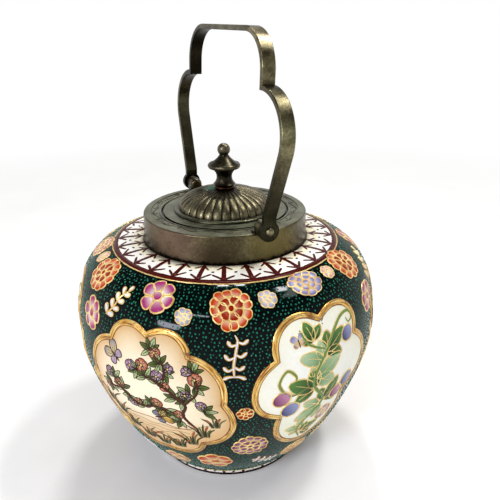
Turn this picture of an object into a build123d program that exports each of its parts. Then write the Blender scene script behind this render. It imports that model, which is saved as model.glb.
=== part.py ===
"""Biscuit jar: a round porcelain jar with a metal collar, a lift-off lid and a stepped bail handle.

Millimetres, +Z up. The origin is the middle of the foot, on the surface that the jar stands on.
The handle swings about the X axis line through its two rivets.
"""
import math
import os

from build123d import *

os.makedirs("parts", exist_ok=True)

# ---------------------------------------------------------------- driving dimensions
# porcelain jar: two smooth curves meet at the belly, each with its own fullness
foot_radius = 45.7
foot_height = 3.5        # upright band between the table and the flank
foot_land = 5.5          # width of the ring that touches the table
foot_recess = 3.5        # how far the base is set up inside that ring
foot_round = 0.8
belly_radius = 85.26
belly_height = 86.7
shoulder_height = 134.4  # flat land round the neck, where the collar stands
seat_margin = 3.2        # of that land outside the collar
shoulder_reach = 23.3    # fullness of the upper curve, outwards at the shoulder
shoulder_drop = 37.0     # fullness of the upper curve, upwards at the belly
flank_drop = 8.4         # fullness of the lower curve, downwards at the belly
flank_reach = 42.3       # fullness of the lower curve, along the flank at the foot
flank_angle = 45.0       # slope of the flank where it leaves the foot
jar_wall = 5.0
jar_base = 7.5
neck_wall = 6.5
neck_lip_round = 1.0

# collar: a flared skirt with a flat top, bedded on the neck
collar_height = 15.2
collar_top_radius = 45.0
collar_flare = 0.8       # how far the skirt's foot stands out past its top
collar_flare_height = 5.0
collar_wall = 1.2
collar_plate = 1.2
collar_edge_round = 0.8
bedding_width = 3.8      # plaster between the neck and the skirt
border_rim = 1.4         # plain rim between the lid's opening and the sunk border
border_depth = 0.25

# throat ring: lines the mouth, and its flange carries the lid
throat_clearance = 1.0   # between the liner and the neck's bore
throat_wall = 1.0
throat_length = 10.0
throat_flange = 1.0
throat_flange_setback = 2.0  # from the outside of the neck

# lid
lid_ledge = 3.5          # width of the throat ring's flange that the lid covers
lid_gap = 0.9            # all round, between the lid and the collar
lid_step_height = 1.3
lid_step_setback = 6.0   # from the lid's edge
lid_step_round = 0.9
lid_eye_ledge = 1.75     # width of the flange under the dome's foot, round its open middle
sleeve_clearance = 0.6
sleeve_wall = 0.9
sleeve_length = 8.0

# gadrooned dome: lobes laid on a smooth core
dome_setback = 3.4       # of the core's foot, from the edge of the lid's step
dome_rise = 10.1         # core, from the lid step to the crest
dome_shoulder_share = 0.8    # of the foot's radius, where the core turns over
dome_shoulder_rise = 0.62    # share of the rise at that place
dome_shoulder_slope = 38.0   # degrees of the outward normal there, above level
dome_foot_lean = 0.12    # inward lean of the core's side at its foot
dome_crest_fall = 0.1    # fall of the core's top at its crest
dome_crest_radius = 5.6
dome_sheet = 1.2
lobe_count = 32
lobe_width_share = 0.95  # of the pitch between neighbouring lobes
lobe_height_share = 0.19
lobe_stations = (0.0, 0.2, 0.45, 0.72, 1.0)  # shares of the meridian where a lobe is drawn

# finial, held by a stud and a nut inside the dome
bead_radius = 5.6
bead_height = 1.9
bead_round = 0.8
finial_foot_radius = 6.0
finial_foot_height = 0.9
finial_foot_bevel = 0.7
finial_waist_radius = 4.2
finial_waist_height = 4.8
brim_radius = 8.85
brim_height = 11.2
brim_thickness = 1.9
brim_under_setback = 1.6     # of the waist's upper end, from the brim's edge
brim_under_drop = 0.8        # of that end, below the edge's thickness
brim_lip_setback = 0.7       # of the raised lip on top, from the brim's edge
brim_lip_width = 0.5
brim_lip_step = 0.2
finial_cone_flare = 1.2      # fullness of the hollow cone under the ball, outwards at the neck
finial_cone_rise = 2.5       # and upwards from the brim's top
finial_neck_radius = 2.3
finial_neck_height = 17.0
ball_radius = 3.45
stud_radius = 2.0
stud_clearance = 0.2
stud_in_finial = 8.0
stud_tail = 1.5          # below the nut
stud_washer_radius = 5.0
stud_washer_thickness = 0.8
nut_across_flats = 7.0
nut_thickness = 3.2

# bail handle, measured along the middle of its strap
pivot_overhang = 6.04    # of the strap at the eyes, from the collar's side
pivot_rise = 3.0         # from the collar's top up to the rivets
handle_rise = 91.0       # from the rivets up to the grip
handle_lean = 2.3        # degrees that the handle leans towards +Y as it is left standing
strap_width = 7.0
strap_thickness = 2.6
strap_edge_round = 0.5
grip_inset = 7.44        # of the grip's sides, inside the eyes
grip_corner_radius = 17.8
notch_rise = 66.4        # the step in each side, above the rivets
bulge_reach = 13.16      # of the widest place, under the step, outside the eyes
shank_foot_rise = 7.0    # where the shank turns upright, above the rivets
shank_foot_radius = 8.0
eye_radius = 5.2
eye_blend_radius = 2.5

# lugs, washers and rivets that carry the handle
rivet_radius = 1.4
rivet_clearance = 0.05
rivet_head_radius = 2.2
rivet_head_height = 1.5
rivet_depth = 6.0        # of the shank inside the lug
handle_play = 0.2        # on each face of the strap
washer_radius = 3.4
washer_thickness = 0.6
lug_radius = 3.5
lug_reach = 4.0          # of the lug, inwards over the collar's top
lug_foot_width = 8.4
lug_foot_height = 1.3
lug_end_round = 2.0

# ---------------------------------------------------------------- derived places
collar_top = shoulder_height + collar_height
plate_underside = collar_top - collar_plate
neck_top = plate_underside - throat_flange
collar_foot_radius = collar_top_radius + collar_flare
seat_radius = collar_foot_radius + seat_margin
skirt_bore_radius = collar_top_radius - collar_wall
skirt_foot_bore_radius = collar_foot_radius - collar_wall
neck_radius = skirt_bore_radius - bedding_width
neck_bore_radius = neck_radius - neck_wall
throat_radius = neck_bore_radius - throat_clearance
throat_bore_radius = throat_radius - throat_wall
lid_opening_radius = throat_bore_radius + lid_ledge

lid_radius = lid_opening_radius - lid_gap
lid_step_radius = lid_radius - lid_step_setback
lid_step_top = collar_top + lid_step_height
sleeve_radius = throat_bore_radius - sleeve_clearance
dome_radius = lid_step_radius - dome_setback
dome_crest = lid_step_top + dome_rise
bead_top = dome_crest + bead_height
ball_height = finial_neck_height + math.sqrt(ball_radius**2 - finial_neck_radius**2)
stud_hole_radius = stud_radius + stud_clearance
washer_top = dome_crest - dome_sheet
nut_top = washer_top - stud_washer_thickness
stud_bottom = nut_top - nut_thickness - stud_tail

pivot_half = collar_top_radius + pivot_overhang
grip_half = pivot_half - grip_inset
bulge_half = pivot_half + bulge_reach
pivot_height = collar_top + pivot_rise
eye_inner = pivot_half - strap_thickness / 2
eye_outer = pivot_half + strap_thickness / 2
lug_inner_half = collar_top_radius - lug_reach
lug_face = eye_inner - handle_play - washer_thickness
rivet_head_seat = eye_outer + handle_play
pivot_axis = Axis((0, 0, pivot_height), (1, 0, 0))


# ---------------------------------------------------------------- shared outlines
def jar_outline(inset, mouth_radius):
    """Right half of the jar's outside, or of its cavity when drawn a wall's thickness in."""
    flank = math.radians(flank_angle)
    foot_x = foot_radius - inset * math.sin(flank)
    foot_z = foot_height + inset * math.cos(flank)
    belly_x = belly_radius - inset
    land_z = shoulder_height - inset
    Bezier(
        (foot_x, foot_z),
        (foot_x + flank_reach * math.cos(flank), foot_z + flank_reach * math.sin(flank)),
        (belly_x, belly_height - flank_drop),
        (belly_x, belly_height),
    )
    Bezier(
        (belly_x, belly_height),
        (belly_x, belly_height + shoulder_drop),
        (seat_radius + shoulder_reach, land_z),
        (seat_radius, land_z),
    )
    Polyline(
        (seat_radius, land_z),
        (mouth_radius, land_z),
        (mouth_radius, neck_top),
        (0, neck_top),
        (0, 0),
        (foot_x, 0),
        (foot_x, foot_z),
    )


def skirt_curve(inset, top):
    """The collar skirt's flared line, drawn a wall's thickness in or out."""
    Bezier(
        (collar_foot_radius - inset, shoulder_height),
        (collar_top_radius - inset, shoulder_height + collar_flare_height),
        (collar_top_radius - inset, top),
    )


def core_curve(inset):
    """The dome's smooth core, from its foot up to the rim of its flat crest."""
    slope = math.radians(dome_shoulder_slope)
    return Spline(
        (dome_radius - inset, lid_step_top),
        (
            dome_shoulder_share * dome_radius - inset * math.cos(slope),
            lid_step_top + dome_shoulder_rise * dome_rise - inset * math.sin(slope),
        ),
        (dome_crest_radius, dome_crest - inset),
        tangents=((-dome_foot_lean, 1), (-1, dome_crest_fall)),
    )


# ---------------------------------------------------------------- porcelain jar
with BuildPart() as jar_body:
    with BuildSketch(Plane.XZ):
        with BuildLine():
            jar_outline(0, neck_radius)
        make_face()
    revolve(axis=Axis.Z)
    with BuildSketch(Plane.XZ):
        with BuildLine():
            jar_outline(jar_wall, neck_bore_radius)
        make_face()
        with Locations((0, jar_base)):
            Rectangle(2 * belly_radius, belly_height, align=(Align.CENTER, Align.MAX), mode=Mode.SUBTRACT)
    revolve(axis=Axis.Z, mode=Mode.SUBTRACT)
    with BuildSketch(Plane.XY):
        Circle(foot_radius - foot_land)
    extrude(amount=foot_recess, mode=Mode.SUBTRACT)
    rims = jar_body.edges().filter_by(GeomType.CIRCLE)
    fillet(rims.group_by(Axis.Z)[0], foot_round)
    fillet(rims.group_by(Axis.Z)[-1], neck_lip_round)
    jar_body.part.label = "jar_body"
export_step(jar_body.part, "parts/jar_body.step")

# ---------------------------------------------------------------- collar and what it stands on
with BuildPart() as collar:
    with BuildSketch(Plane.XZ):
        with BuildLine():
            skirt_curve(0, collar_top)
            Line((collar_top_radius, collar_top), (lid_opening_radius, collar_top))
            Line((lid_opening_radius, collar_top), (lid_opening_radius, plate_underside))
            Line((lid_opening_radius, plate_underside), (skirt_bore_radius, plate_underside))
            skirt_curve(collar_wall, plate_underside)
            Line((skirt_foot_bore_radius, shoulder_height), (collar_foot_radius, shoulder_height))
        make_face()
    revolve(axis=Axis.Z)
    fillet(collar.edges().filter_by(GeomType.CIRCLE).group_by(Axis.Z)[-1], collar_edge_round)
    with BuildSketch(Plane.XY.offset(collar_top)):
        Circle(lug_inner_half)
        Circle(lid_opening_radius + border_rim, mode=Mode.SUBTRACT)
    extrude(amount=-border_depth, mode=Mode.SUBTRACT)
    collar.part.label = "collar"
export_step(collar.part, "parts/collar.step")

# the plaster fills the collar from the neck out to the skirt
with BuildPart() as plaster_bedding:
    with BuildSketch(Plane.XZ):
        with BuildLine():
            skirt_curve(collar_wall, plate_underside)
            Polyline(
                (skirt_bore_radius, plate_underside),
                (neck_radius, plate_underside),
                (neck_radius, shoulder_height),
                (skirt_foot_bore_radius, shoulder_height),
            )
        make_face()
    revolve(axis=Axis.Z)
    plaster_bedding.part.label = "plaster_bedding"
export_step(plaster_bedding.part, "parts/plaster_bedding.step")

# the flange lies on the neck's lip, under the collar's plate, and the lid rests on it
with BuildPart() as throat_ring:
    with BuildSketch(Plane.XY.offset(neck_top)):
        Circle(neck_radius - throat_flange_setback)
        Circle(throat_bore_radius, mode=Mode.SUBTRACT)
    extrude(amount=throat_flange)
    with BuildSketch(Plane.XY.offset(neck_top)):
        Circle(throat_radius)
        Circle(throat_bore_radius, mode=Mode.SUBTRACT)
    extrude(amount=-throat_length)
    throat_ring.part.label = "throat_ring"
export_step(throat_ring.part, "parts/throat_ring.step")

# ---------------------------------------------------------------- lid
with BuildPart() as lid_flange:
    with BuildSketch(Plane.XY.offset(plate_underside)):
        Circle(lid_radius)
    extrude(amount=collar_plate)
    with BuildSketch(Plane.XY.offset(collar_top)):
        Circle(lid_step_radius)
    extrude(amount=lid_step_height)
    with BuildSketch(Plane.XY.offset(plate_underside)):
        Circle(dome_radius - lid_eye_ledge)
    extrude(amount=collar_plate + lid_step_height, mode=Mode.SUBTRACT)
    step_rim = lid_flange.edges().filter_by(GeomType.CIRCLE).group_by(Axis.Z)[-1].sort_by(SortBy.RADIUS)[-1]
    fillet(step_rim, lid_step_round)
    lid_flange.part.label = "lid_flange"
export_step(lid_flange.part, "parts/lid_flange.step")

with BuildPart() as lid_sleeve:
    with BuildSketch(Plane.XY.offset(plate_underside)):
        Circle(sleeve_radius)
        Circle(sleeve_radius - sleeve_wall, mode=Mode.SUBTRACT)
    extrude(amount=-sleeve_length)
    lid_sleeve.part.label = "lid_sleeve"
export_step(lid_sleeve.part, "parts/lid_sleeve.step")

# one lobe follows the dome's meridian and narrows with it, so that all of them meet at the crest
with BuildLine(Plane.XZ) as meridian:
    core_curve(0)
rib = meridian.edges()[0]
with BuildPart() as lobe:
    for share in lobe_stations:
        station = rib.position_at(share)
        pitch = math.tau * station.X / lobe_count
        with BuildSketch(Plane(origin=station, x_dir=(0, 1, 0), z_dir=rib.tangent_at(share))):
            Ellipse(lobe_width_share * pitch / 2, lobe_height_share * pitch)
    loft()

with BuildPart() as lid_dome:
    with BuildSketch(Plane.XZ):
        with BuildLine():
            core_curve(0)
            Polyline(
                (dome_crest_radius, dome_crest),
                (0, dome_crest),
                (0, lid_step_top),
                (dome_radius, lid_step_top),
            )
        make_face()
    revolve(axis=Axis.Z)
    with PolarLocations(0, lobe_count):
        add(lobe.part)
    with BuildSketch(Plane.XZ):
        with BuildLine():
            core_curve(dome_sheet)
            Polyline(
                (dome_crest_radius, washer_top),
                (0, washer_top),
                (0, lid_step_top),
                (dome_radius - dome_sheet, lid_step_top),
            )
        make_face()
    revolve(axis=Axis.Z, mode=Mode.SUBTRACT)
    with BuildSketch(Plane.XY.offset(washer_top)):
        Circle(stud_hole_radius)
    extrude(amount=2 * dome_sheet, mode=Mode.SUBTRACT)
    split(bisect_by=Plane.XY.offset(lid_step_top), keep=Keep.TOP)
    lid_dome.part.label = "lid_dome"
export_step(lid_dome.part, "parts/lid_dome.step")

# ---------------------------------------------------------------- finial and its fastening
with BuildPart() as finial_bead:
    with BuildSketch(Plane.XY.offset(dome_crest)):
        Circle(bead_radius)
        Circle(stud_hole_radius, mode=Mode.SUBTRACT)
    extrude(amount=bead_height)
    fillet(finial_bead.edges().filter_by(GeomType.CIRCLE).group_by(SortBy.RADIUS)[-1], bead_round)
    finial_bead.part.label = "finial_bead"
export_step(finial_bead.part, "parts/finial_bead.step")

brim_middle = bead_top + brim_height
brim_top = brim_middle + brim_thickness / 2
with BuildPart() as finial_knob:
    with BuildSketch(Plane.XZ):
        with BuildLine():
            foot_edge = (finial_foot_radius, bead_top + finial_foot_height)
            waist = (finial_waist_radius, bead_top + finial_waist_height)
            brim_under = (
                brim_radius - brim_under_setback,
                brim_middle - brim_thickness / 2 - brim_under_drop,
            )
            lip = (brim_radius - brim_lip_setback, brim_top)
            cone_foot = (brim_radius - brim_lip_setback - brim_lip_width, brim_top - brim_lip_step)
            neck = (finial_neck_radius, bead_top + finial_neck_height)
            tip = (0, bead_top + ball_height + ball_radius)
            Polyline((0, bead_top), (finial_foot_radius - finial_foot_bevel, bead_top), foot_edge)
            ThreePointArc(foot_edge, waist, brim_under)
            ThreePointArc(brim_under, (brim_radius, brim_middle), lip)
            Line(lip, cone_foot)
            Bezier(cone_foot, (finial_neck_radius + finial_cone_flare, brim_top + finial_cone_rise), neck)
            ThreePointArc(neck, (ball_radius, bead_top + ball_height), tip)
            Line(tip, (0, bead_top))
        make_face()
    revolve(axis=Axis.Z)
    with BuildSketch(Plane.XY.offset(bead_top)):
        Circle(stud_radius)
    extrude(amount=stud_in_finial, mode=Mode.SUBTRACT)
    finial_knob.part.label = "finial_knob"
export_step(finial_knob.part, "parts/finial_knob.step")

with BuildPart() as finial_stud:
    with BuildSketch(Plane.XY.offset(stud_bottom)):
        Circle(stud_radius)
    extrude(amount=bead_top + stud_in_finial - stud_bottom)
    finial_stud.part.label = "finial_stud"
export_step(finial_stud.part, "parts/finial_stud.step")

with BuildPart() as finial_washer:
    with BuildSketch(Plane.XY.offset(nut_top)):
        Circle(stud_washer_radius)
        Circle(stud_hole_radius, mode=Mode.SUBTRACT)
    extrude(amount=stud_washer_thickness)
    finial_washer.part.label = "finial_washer"
export_step(finial_washer.part, "parts/finial_washer.step")

with BuildPart() as finial_nut:
    with BuildSketch(Plane.XY.offset(nut_top)):
        RegularPolygon(nut_across_flats / 2, 6, major_radius=False)
        Circle(stud_radius, mode=Mode.SUBTRACT)
    extrude(amount=-nut_thickness)
    finial_nut.part.label = "finial_nut"
export_step(finial_nut.part, "parts/finial_nut.step")

# ---------------------------------------------------------------- bail handle
lean = math.radians(handle_lean)
handle_plane = Plane(
    origin=(0, 0, pivot_height), x_dir=(1, 0, 0), z_dir=(0, -math.cos(lean), math.sin(lean))
)
eye_plane = Plane(
    origin=(eye_inner, 0, pivot_height), x_dir=(0, math.cos(lean), -math.sin(lean)), z_dir=(1, 0, 0)
)
grip_plane = Plane(
    origin=handle_plane.from_local_coords((0, handle_rise, 0)), x_dir=handle_plane.y_dir, z_dir=(1, 0, 0)
)

# the shank is the line from its foot that touches the bulge's arc
bulge_radius = bulge_half - grip_half
shank_shift = pivot_half - grip_half
shank_drop = notch_rise - bulge_radius - shank_foot_rise
shank_length = math.sqrt(shank_shift**2 + shank_drop**2 - bulge_radius**2)
shank_turn = math.atan2(shank_drop, shank_shift) - math.atan2(shank_length, bulge_radius)
shank_top = (
    grip_half + bulge_radius * math.cos(shank_turn),
    notch_rise - bulge_radius * (1 + math.sin(shank_turn)),
)
with BuildPart() as handle:
    with BuildLine(handle_plane):
        FilletPolyline(
            (0, handle_rise), (grip_half, handle_rise), (grip_half, notch_rise), radius=grip_corner_radius
        )
        JernArc((grip_half, notch_rise), (1, 0), bulge_radius, -90 - math.degrees(shank_turn))
        FilletPolyline(shank_top, (pivot_half, shank_foot_rise), (pivot_half, 0), radius=shank_foot_radius)
    with BuildSketch(grip_plane):
        RectangleRounded(strap_thickness, strap_width, strap_edge_round)
    sweep(transition=Transition.RIGHT)
    with BuildSketch(eye_plane) as eye_outline:
        Circle(eye_radius)
        Rectangle(strap_width - 2 * strap_edge_round, shank_foot_rise, align=(Align.CENTER, Align.MIN))
        inner_corners = eye_outline.vertices().group_by(Axis.Z)[1:-1]
        fillet([corner for row in inner_corners for corner in row], eye_blend_radius)
    extrude(amount=strap_thickness)
    mirror(about=Plane.YZ)
    with BuildSketch(Plane.YZ):
        with Locations((0, pivot_height)):
            Circle(rivet_radius + rivet_clearance)
    extrude(amount=2 * pivot_half, both=True, mode=Mode.SUBTRACT)
    handle.part.label = "handle"
export_step(handle.part, "parts/handle.step")

# ---------------------------------------------------------------- lugs, washers and rivets
for side, facing in (("left", -1), ("right", 1)):
    with BuildPart() as lug:
        with BuildSketch(Plane.YZ.offset(facing * lug_inner_half)):
            with Locations((0, pivot_height)):
                Circle(lug_radius)
            with Locations((0, collar_top)):
                Rectangle(2 * lug_radius, pivot_rise, align=(Align.CENTER, Align.MIN))
        extrude(amount=facing * (lug_face - lug_inner_half))
        split(bisect_by=Plane.XY.offset(collar_top), keep=Keep.TOP)
        inner_end = lug.faces().sort_by(Axis.X)[0 if facing > 0 else -1]
        fillet(inner_end.edges().filter_by(Axis.Y, reverse=True), lug_end_round)
        with BuildSketch(Plane.XY.offset(collar_top)):
            Rectangle(2 * (collar_top_radius - collar_edge_round), lug_foot_width)
            Rectangle(2 * lug_inner_half, lug_foot_width, mode=Mode.SUBTRACT)
            split(bisect_by=Plane.YZ, keep=Keep.TOP if facing > 0 else Keep.BOTTOM)
        extrude(amount=lug_foot_height)
        with BuildSketch(Plane.YZ.offset(facing * lug_face)):
            with Locations((0, pivot_height)):
                Circle(rivet_radius)
        extrude(amount=-facing * rivet_depth, mode=Mode.SUBTRACT)
        lug.part.label = "lug_" + side
    export_step(lug.part, "parts/lug_" + side + ".step")

    with BuildPart() as washer:
        with BuildSketch(Plane.YZ.offset(facing * lug_face)):
            with Locations((0, pivot_height)):
                Circle(washer_radius)
                Circle(rivet_radius, mode=Mode.SUBTRACT)
        extrude(amount=facing * washer_thickness)
        washer.part.label = "washer_" + side
    export_step(washer.part, "parts/washer_" + side + ".step")

    with BuildPart() as rivet:
        with BuildSketch(Plane.XZ):
            with BuildLine():
                head_tip = (facing * (rivet_head_seat + rivet_head_height), pivot_height)
                head_edge = (facing * rivet_head_seat, pivot_height + rivet_head_radius)
                TangentArc(head_tip, head_edge, tangent=(0, 1))
                Polyline(
                    head_edge,
                    (facing * rivet_head_seat, pivot_height + rivet_radius),
                    (facing * (lug_face - rivet_depth), pivot_height + rivet_radius),
                    (facing * (lug_face - rivet_depth), pivot_height),
                    head_tip,
                )
            make_face()
        revolve(axis=pivot_axis)
        rivet.part.label = "rivet_" + side
    export_step(rivet.part, "parts/rivet_" + side + ".step")
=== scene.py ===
"""Looks of the biscuit jar: raised enamels and gilding on the porcelain, patina on the metal.

Flat designs are drawn in millimetres (x along the jar's azimuth, y up its side) and laid on the
glaze, so every flower, panel and dot is real relief. Lifts and lengths along the side are in
millimetres too, and everything else here is in metres.
"""
import cmath
import math
import random

import bpy
import numpy as np
from mathutils import Euler, Matrix, Vector
from mathutils.bvhtree import BVHTree
from mathutils.kdtree import KDTree


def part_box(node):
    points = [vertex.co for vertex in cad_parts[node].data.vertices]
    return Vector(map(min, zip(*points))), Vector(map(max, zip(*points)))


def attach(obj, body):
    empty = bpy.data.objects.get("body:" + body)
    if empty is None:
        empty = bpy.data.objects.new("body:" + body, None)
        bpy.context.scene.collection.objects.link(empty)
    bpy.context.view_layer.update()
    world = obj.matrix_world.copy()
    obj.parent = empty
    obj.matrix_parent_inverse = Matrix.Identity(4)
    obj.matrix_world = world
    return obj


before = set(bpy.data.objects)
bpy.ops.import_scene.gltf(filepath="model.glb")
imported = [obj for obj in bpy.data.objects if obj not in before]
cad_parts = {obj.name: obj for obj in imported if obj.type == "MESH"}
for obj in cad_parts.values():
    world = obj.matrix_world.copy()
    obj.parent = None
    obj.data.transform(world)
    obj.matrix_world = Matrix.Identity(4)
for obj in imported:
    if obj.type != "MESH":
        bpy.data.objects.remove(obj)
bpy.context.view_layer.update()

MM = 0.001
rng = random.Random(7)

# ---- camera
CAMERA_AZIMUTH = -24.02      # degrees, where the camera stands round the jar
CAMERA_DISTANCE = 0.302017   # from the jar's axis
CAMERA_HEIGHT = 0.2493
CAMERA_DIP = 22.574          # degrees that it looks down
CAMERA_YAW = 2.636           # degrees that it looks to the right of the jar's axis
CAMERA_ROLL = -0.229
FOCAL_SHARE = 1.133134       # focal length over the picture's width


def ray_towards(azimuth, elevation):
    """The unit vector towards an azimuth and an elevation in degrees."""
    turn, rise = math.radians(azimuth), math.radians(elevation)
    return Vector((math.cos(turn) * math.cos(rise), math.sin(turn) * math.cos(rise), math.sin(rise)))


def add_camera():
    """The camera at the place and angle of the reference view."""
    data = bpy.data.cameras.new("camera")
    data.sensor_fit = "HORIZONTAL"
    data.lens = FOCAL_SHARE * data.sensor_width
    data.clip_start = 0.01
    camera = bpy.data.objects.new("camera", data)
    aim = Euler((math.radians(90 - CAMERA_DIP), 0, math.radians(CAMERA_AZIMUTH + 90 - CAMERA_YAW)))
    roll = Matrix.Rotation(math.radians(CAMERA_ROLL), 3, "Z")
    camera.matrix_world = (aim.to_matrix() @ roll).to_4x4()
    camera.location = CAMERA_DISTANCE * ray_towards(CAMERA_AZIMUTH, 0) + Vector((0, 0, CAMERA_HEIGHT))
    bpy.context.scene.collection.objects.link(camera)
    bpy.context.scene.camera = camera


# ---- node trees
def tint(red, green, blue):
    """A screen colour of 0 to 255, as the linear colour that Blender works in."""
    shares = np.array([red, green, blue]) / 255
    return np.where(shares <= 0.04045, shares / 12.92, ((shares + 0.055) / 1.055) ** 2.4)


class Nodes:
    """Short helpers to build a node tree. Each value may be a socket to link or a constant to set."""

    def __init__(self, tree):
        self.tree = tree

    def feed(self, socket, value):
        if isinstance(value, bpy.types.NodeSocket):
            self.tree.links.new(value, socket)
        else:
            socket.default_value = value

    def node(self, kind, *inputs, **settings):
        """A new node, its first inputs fed in their order."""
        made = self.tree.nodes.new(kind)
        for key, value in settings.items():
            setattr(made, key, value)
        for socket, value in zip(made.inputs, inputs):
            self.feed(socket, value)
        return made

    def place(self):
        """Coordinates that stay with the object."""
        return self.node("ShaderNodeTexCoord").outputs["Object"]

    def height(self, vector):
        return self.node("ShaderNodeSeparateXYZ", vector).outputs["Z"]

    def vector(self, operation, *values):
        """The outputs of a vector operation: Vector, or Value where it gives a number."""
        return self.node("ShaderNodeVectorMath", *values, operation=operation).outputs

    def math(self, operation, *values):
        return self.node("ShaderNodeMath", *values, operation=operation).outputs["Value"]

    def span(self, factor, low, high, to_low=0.0, to_high=1.0):
        """factor from low to high, clamped and spread from to_low to to_high."""
        return self.node("ShaderNodeMapRange", factor, low, high, to_low, to_high).outputs["Result"]

    def noise(self, scale, detail=4.0, roughness=0.55, vector=None, distortion=0.0):
        made = self.node("ShaderNodeTexNoise", vector or self.place())
        for key, value in (("Scale", scale), ("Detail", detail), ("Roughness", roughness),
                           ("Distortion", distortion)):
            made.inputs[key].default_value = value
        return made.outputs["Fac"]

    def ramp(self, factor, *stops):
        made = self.node("ShaderNodeValToRGB", factor)
        elements = made.color_ramp.elements
        while len(elements) < len(stops):
            elements.new(0.5)
        for element, (position, colour) in zip(elements, stops):
            element.position = position
            element.color = (*colour, 1)
        return made.outputs["Color"]

    def mix(self, factor, first, second, blend="MIX"):
        """Two colours mixed; each of the three may be a socket or a value."""
        made = self.node("ShaderNodeMix", factor, data_type="RGBA", blend_type=blend)
        for number, colour in ((6, first), (7, second)):
            is_socket = isinstance(colour, bpy.types.NodeSocket)
            self.feed(made.inputs[number], colour if is_socket else (*colour, 1))
        return made.outputs[2]

    def times(self, first, second):
        return self.mix(1.0, first, second, "MULTIPLY")

    def dimmed(self, colour, share):
        """A colour brought down to a share of it."""
        return self.times(colour, self.mix(share, (0.0, 0.0, 0.0), (1.0, 1.0, 1.0)))

    def patch(self, centre, reach, scale, softness=0.35):
        """A ragged patch round a centre, 1 in its middle and 0 beyond its reach."""
        away = self.vector("DISTANCE", self.place(), centre)["Value"]
        near = self.span(away, 0.2 * reach, reach, 1.0, 0.0)
        ragged = self.math("ADD", near, self.math("MULTIPLY", self.noise(scale, 6, 0.75), 1.6))
        return self.span(ragged, 1.42 - 0.5 * softness, 1.42 + 0.5 * softness)

    def seen(self):
        """1 for what the camera sees, also in a reflection or through glass, and 0 for lighting."""
        rays = self.node("ShaderNodeLightPath").outputs
        direct = self.math("MAXIMUM", rays["Is Camera Ray"], rays["Is Glossy Ray"])
        return self.math("MAXIMUM", direct, rays["Is Transmission Ray"])

    def show(self, factor, first, second, output):
        """Sends two shaders, mixed by a factor, to the output node of that name."""
        blend = self.node("ShaderNodeMixShader", factor, first.outputs[0], second.outputs[0])
        self.feed(self.tree.nodes[output].inputs["Surface"], blend.outputs[0])


class Shader(Nodes):
    """The node tree of a new material, with its Principled shader."""

    def __init__(self, name):
        self.material = bpy.data.materials.new(name)
        self.material.use_nodes = True
        super().__init__(self.material.node_tree)
        self.bsdf = self.tree.nodes["Principled BSDF"]

    def bump(self, height, strength, distance):
        made = self.node("ShaderNodeBump")
        for key, value in (("Strength", strength), ("Distance", distance), ("Height", height)):
            self.feed(made.inputs[key], value)
        self.feed(self.bsdf.inputs["Normal"], made.outputs["Normal"])

    def set(self, **values):
        """Feeds Principled inputs, by their names with _ for a space."""
        for key, value in values.items():
            self.feed(self.bsdf.inputs[key.replace("_", " ")], value)


# ---- materials
GLAZE_SPECULAR = 0.09        # less than clear glass, as the fired colours have a soft skin
BARE_FOOT_HEIGHT = 4.1 * MM  # the foot is unglazed up to here, where it faces down


def porcelain_material():
    """Near-black green glaze outside, cream glaze inside, bare bisque on the foot."""
    shader = Shader("porcelain")
    ground = shader.ramp(
        shader.noise(240, 5), (0.3, tint(1, 5, 5)), (0.55, tint(2, 10, 9)), (0.8, tint(5, 19, 16)),
    )
    inside = shader.ramp(shader.noise(60, 3), (0.3, tint(222, 216, 200)), (0.8, tint(236, 232, 220)))
    bisque = shader.ramp(shader.noise(900, 6), (0.3, tint(196, 184, 162)), (0.7, tint(222, 212, 192)))
    normal = shader.node("ShaderNodeNewGeometry").outputs["Normal"]
    outward = shader.vector("SUBTRACT", shader.place(), (0, 0, BELLY_HEIGHT))["Vector"]
    is_inside = shader.math("LESS_THAN", shader.vector("DOT_PRODUCT", outward, normal)["Value"], 0.0)
    is_foot = shader.math(
        "MULTIPLY", shader.math("LESS_THAN", shader.height(shader.place()), BARE_FOOT_HEIGHT),
        shader.math("LESS_THAN", shader.height(normal), -0.75),
    )
    is_foot = shader.math("MULTIPLY", is_foot, shader.math("SUBTRACT", 1.0, is_inside))
    gloss = shader.span(shader.noise(70, 4), 0.3, 0.7, 0.04, 0.10)
    shader.set(
        Base_Color=shader.mix(is_foot, shader.mix(is_inside, ground, inside), bisque),
        Roughness=shader.math("ADD", gloss, shader.math("MULTIPLY", is_foot, 0.6)),
        Specular_IOR_Level=GLAZE_SPECULAR,
    )
    shader.bump(shader.noise(110, 3), 0.12, 0.6 * MM)
    return shader.material


def enamel_material(name, roughness=0.16, waver=0.16):
    """Fired enamel in the colour painted on the mesh, a little uneven and glossy."""
    shader = Shader(name)
    paint = shader.node("ShaderNodeAttribute", attribute_name="Paint").outputs["Color"]
    shade = shader.ramp(shader.noise(520, 4), (0.3, (1 - waver,) * 3), (0.7, (1.0, 1.0, 1.0)))
    shader.set(
        Base_Color=shader.times(paint, shade),
        Specular_IOR_Level=GLAZE_SPECULAR,
        Roughness=shader.span(shader.noise(300, 3), 0.3, 0.7, roughness * 0.7, roughness * 1.5),
    )
    shader.bump(shader.noise(650, 3), 0.25, 0.15 * MM)
    return shader.material


def gilding_material():
    """Raised gilding: pale and rich gold in soft patches, with brown where it has worn."""
    shader = Shader("gilding")
    gold = shader.ramp(shader.noise(140, 5), (0.30, tint(192, 144, 66)), (0.58, tint(236, 210, 138)))
    wear = shader.span(shader.noise(330, 6, 0.65), 0.60, 0.76)
    shader.set(
        Base_Color=shader.mix(wear, gold, tint(118, 74, 34)),
        Metallic=shader.span(wear, 0.0, 1.0, 0.45, 0.2),
        Roughness=shader.span(shader.noise(500, 4), 0.3, 0.7, 0.24, 0.44),
    )
    shader.bump(shader.noise(900, 5), 0.5, 0.2 * MM)
    return shader.material


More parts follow.
